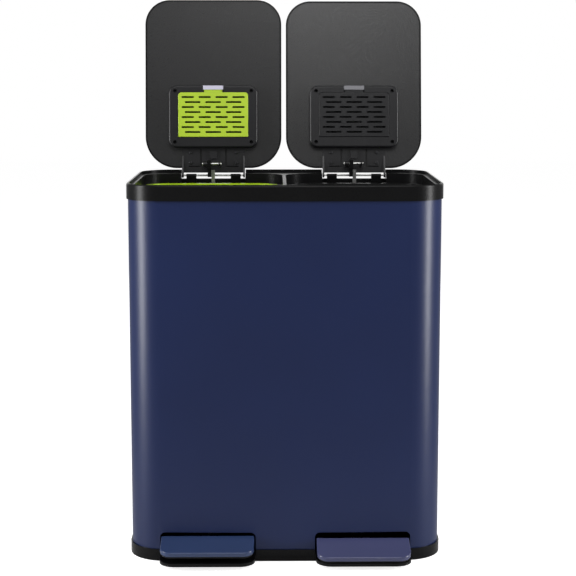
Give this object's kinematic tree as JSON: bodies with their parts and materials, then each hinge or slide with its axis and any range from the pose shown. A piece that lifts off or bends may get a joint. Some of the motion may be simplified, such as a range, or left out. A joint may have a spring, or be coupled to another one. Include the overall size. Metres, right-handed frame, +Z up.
{
  "type": "double recycling bin",
  "caption": "Tall two-compartment pedal bin with a steel casing, hinged lids that hold deodoriser filters, and lift-out buckets side by side.",
  "frame": {"origin": "on the floor under the middle of the cabinet", "axes": "+X to the right seen from the pedals, +Y to the rear, +Z up"},
  "size_m": [0.5, 0.4268, 0.8947],
  "materials": {
    "painted_steel": "satin deep blue powder coat",
    "lid_paint": "satin deep blue powder coat",
    "left_pedal_paint": "satin blue paint",
    "right_pedal_paint": "satin grey-violet paint",
    "black_plastic": "satin black moulding",
    "charcoal_plastic": "matt charcoal moulding",
    "charcoal_board": "matt charcoal panel",
    "green_plastic": "glossy lime moulding",
    "bucket_green": "glossy green moulding",
    "bucket_black": "satin black moulding",
    "carbon_foam": "black activated carbon foam",
    "zinc_steel": "zinc plated",
    "black_steel": "blackened steel",
    "bright_steel": "bright drawn steel",
    "foot_rubber": "black rubber"
  },
  "bodies": {
    "cabinet": {"casing": "painted_steel", "top_rim": "black_plastic", "base": "black_plastic", "base_screws": "zinc_steel", "base_feet": "foot_rubber", "guide_screws": "zinc_steel", "left_side_grip": "black_plastic", "left_rod_guide": "black_plastic", "left_hinge_pin": "bright_steel", "left_pedal_axle": "bright_steel", "right_side_grip": "black_plastic", "right_rod_guide": "black_plastic", "right_hinge_pin": "bright_steel", "right_pedal_axle": "bright_steel"},
    "left_lid": {"left_lid_frame": "black_plastic", "left_lid_skin": "lid_paint", "left_lid_panel": "charcoal_board", "left_filter_frame": "charcoal_plastic", "left_carbon_filter": "carbon_foam", "left_hinge_bracket": "black_plastic", "left_filter_screws": "black_steel", "left_bracket_screws": "black_steel", "left_link_pin": "bright_steel"},
    "left_filter_door": {"left_filter_cover": "green_plastic"},
    "left_latch": {"left_filter_latch": "charcoal_plastic"},
    "left_rod": {"left_push_rod": "bright_steel", "left_rod_head": "black_plastic", "left_rod_foot": "black_plastic"},
    "left_pedal": {"left_pedal_plate": "left_pedal_paint", "left_pedal_body": "black_plastic", "left_pedal_lever": "bright_steel", "left_lever_pin": "bright_steel", "left_lever_rivet": "bright_steel"},
    "left_inner_bucket": {"left_bucket": "bucket_green"},
    "left_bucket_bail": {"left_bail": "bright_steel"},
    "right_lid": {"right_lid_frame": "black_plastic", "right_lid_skin": "lid_paint", "right_lid_panel": "charcoal_board", "right_filter_frame": "charcoal_plastic", "right_carbon_filter": "carbon_foam", "right_hinge_bracket": "black_plastic", "right_filter_screws": "black_steel", "right_bracket_screws": "black_steel", "right_link_pin": "bright_steel"},
    "right_filter_door": {"right_filter_cover": "charcoal_plastic"},
    "right_latch": {"right_filter_latch": "charcoal_plastic"},
    "right_rod": {"right_push_rod": "bright_steel", "right_rod_head": "black_plastic", "right_rod_foot": "black_plastic"},
    "right_pedal": {"right_pedal_plate": "right_pedal_paint", "right_pedal_body": "black_plastic", "right_pedal_lever": "bright_steel", "right_lever_pin": "bright_steel", "right_lever_rivet": "bright_steel"},
    "right_inner_bucket": {"right_bucket": "bucket_black"},
    "right_bucket_bail": {"right_bail": "bright_steel"}
  },
  "joints": [
    {"name": "left_lid_swing", "type": "hinge", "parent": "cabinet", "child": "left_lid", "pos_m": [-0.123, 0.151, 0.5905], "axis": [-1, 0, 0], "range_deg": [-97, 0]},
    {"name": "left_pedal_press", "type": "hinge", "parent": "cabinet", "child": "left_pedal", "pos_m": [-0.123, -0.118, 0.022], "axis": [1, 0, 0], "range_deg": [-5.2, 0]},
    {"name": "left_rod_lift", "type": "slide", "parent": "cabinet", "child": "left_rod", "axis": [0, 0, 1], "range_m": [-0.04285, 0]},
    {"name": "left_cover_open", "type": "hinge", "parent": "left_lid", "child": "left_filter_door", "pos_m": [-0.123, 0.14818, 0.65946], "axis": [1, 0, 0], "range_deg": [0, 90]},
    {"name": "left_latch_press", "type": "hinge", "parent": "left_lid", "child": "left_latch", "pos_m": [-0.123, 0.16463, 0.74418], "axis": [-1, 0, 0], "range_deg": [0, 12]},
    {"name": "left_bucket_lift", "type": "slide", "parent": "cabinet", "child": "left_inner_bucket", "axis": [0, 0, 1], "range_m": [0, 0.65]},
    {"name": "left_bail_swing", "type": "hinge", "parent": "left_inner_bucket", "child": "left_bucket_bail", "pos_m": [-0.123, -0.01775, 0.583], "axis": [-1, 0, 0], "range_deg": [0, 90]},
    {"name": "right_lid_swing", "type": "hinge", "parent": "cabinet", "child": "right_lid", "pos_m": [0.123, 0.151, 0.5905], "axis": [-1, 0, 0], "range_deg": [-99, 0]},
    {"name": "right_pedal_press", "type": "hinge", "parent": "cabinet", "child": "right_pedal", "pos_m": [0.123, -0.118, 0.022], "axis": [1, 0, 0], "range_deg": [-10, 0]},
    {"name": "right_rod_lift", "type": "slide", "parent": "cabinet", "child": "right_rod", "axis": [0, 0, 1], "range_m": [-0.0435, 0]},
    {"name": "right_cover_open", "type": "hinge", "parent": "right_lid", "child": "right_filter_door", "pos_m": [0.123, 0.15059, 0.65951], "axis": [1, 0, 0], "range_deg": [0, 90]},
    {"name": "right_latch_press", "type": "hinge", "parent": "right_lid", "child": "right_latch", "pos_m": [0.123, 0.16999, 0.74362], "axis": [-1, 0, 0], "range_deg": [0, 12]},
    {"name": "right_bucket_lift", "type": "slide", "parent": "cabinet", "child": "right_inner_bucket", "axis": [0, 0, 1], "range_m": [0, 0.65]},
    {"name": "right_bail_swing", "type": "hinge", "parent": "right_inner_bucket", "child": "right_bucket_bail", "pos_m": [0.123, -0.01775, 0.583], "axis": [-1, 0, 0], "range_deg": [0, 90]}
  ],
  "couplings": [
    {"joint": "left_pedal_press", "follows": "left_lid_swing", "ratio": 0.0536},
    {"joint": "left_rod_lift", "follows": "left_lid_swing", "m_per_rad": 0.025306},
    {"joint": "right_pedal_press", "follows": "right_lid_swing", "ratio": 0.101},
    {"joint": "right_rod_lift", "follows": "right_lid_swing", "m_per_rad": 0.02517}
  ]
}
